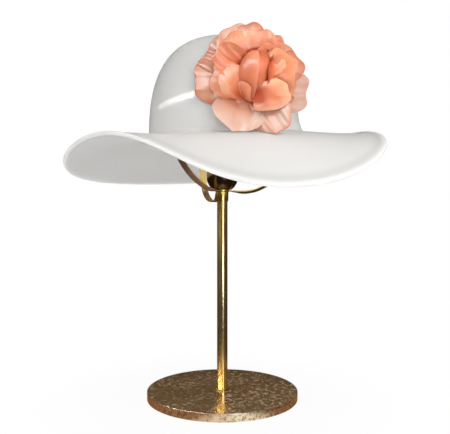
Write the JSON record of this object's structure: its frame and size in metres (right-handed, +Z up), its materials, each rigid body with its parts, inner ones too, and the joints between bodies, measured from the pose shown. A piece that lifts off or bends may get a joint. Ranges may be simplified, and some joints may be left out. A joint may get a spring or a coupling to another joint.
{
  "type": "table lamp",
  "caption": "Table lamp with a frosted glass sun hat as its shade, a silk rose on the crown, and a brass stem, strip arms and round base.",
  "frame": {"origin": "centre of the underside of the round base, on the axis of the stem", "axes": "+Z up the stem, -Y towards the front of the lamp, where the rose faces, and +X to the right seen from the front"},
  "size_m": [0.4296, 0.3882, 0.4845],
  "materials": {
    "brass": "polished, lightly tarnished",
    "aged_brass": "mottled dark patina",
    "steel": "zinc plated",
    "iron": "rough casting",
    "felt": "pressed felt",
    "soft_sleeve": "milky soft vinyl",
    "phenolic": "moulded",
    "insulator": "glazed ceramic",
    "bulb": "opal",
    "frosted_glass": "acid frosted, white",
    "silk_pale": "sheer satin",
    "silk": "satin",
    "silk_deep": "satin"
  },
  "bodies": {
    "stand": {"base_felt": "felt", "base_weight": "iron", "base_plate": "aged_brass", "base_edge_band": "aged_brass", "cord_bushing": "phenolic", "base_washer": "steel", "base_nut": "steel", "stem_pipe": "steel", "foot_ring": "brass", "stem_tube": "brass", "collar": "brass", "arm_hub": "brass", "arm_front": "brass", "arm_pad_front": "soft_sleeve", "arm_rear": "brass", "arm_pad_rear": "soft_sleeve", "arm_right": "brass", "arm_pad_right": "soft_sleeve", "socket_cup": "brass", "cup_nut": "steel", "lampholder_base": "phenolic", "lampholder_insulator": "insulator", "lampholder_sleeve": "phenolic", "lampholder_liner": "brass", "lampholder_contact": "brass"},
    "bulb": {"bulb_insulator": "phenolic", "bulb_cap": "steel", "bulb_glass": "bulb"},
    "shade": {"hat_shade": "frosted_glass", "flower_pad": "soft_sleeve", "flower_back": "felt", "flower_stem": "felt", "petals_outer": "silk_pale", "petals_middle": "silk", "petals_inner": "silk", "flower_bud": "silk_deep"}
  },
  "joints": [
    {"name": "shade_lift", "type": "slide", "parent": "stand", "child": "shade", "axis": [0, 0, 1], "range_m": [0, 0.15]},
    {"name": "bulb_turn", "type": "hinge", "parent": "stand", "child": "bulb", "pos_m": [0, 0, 0.31], "axis": [0, 0, 1], "range_deg": [0, 1080]}
  ]
}
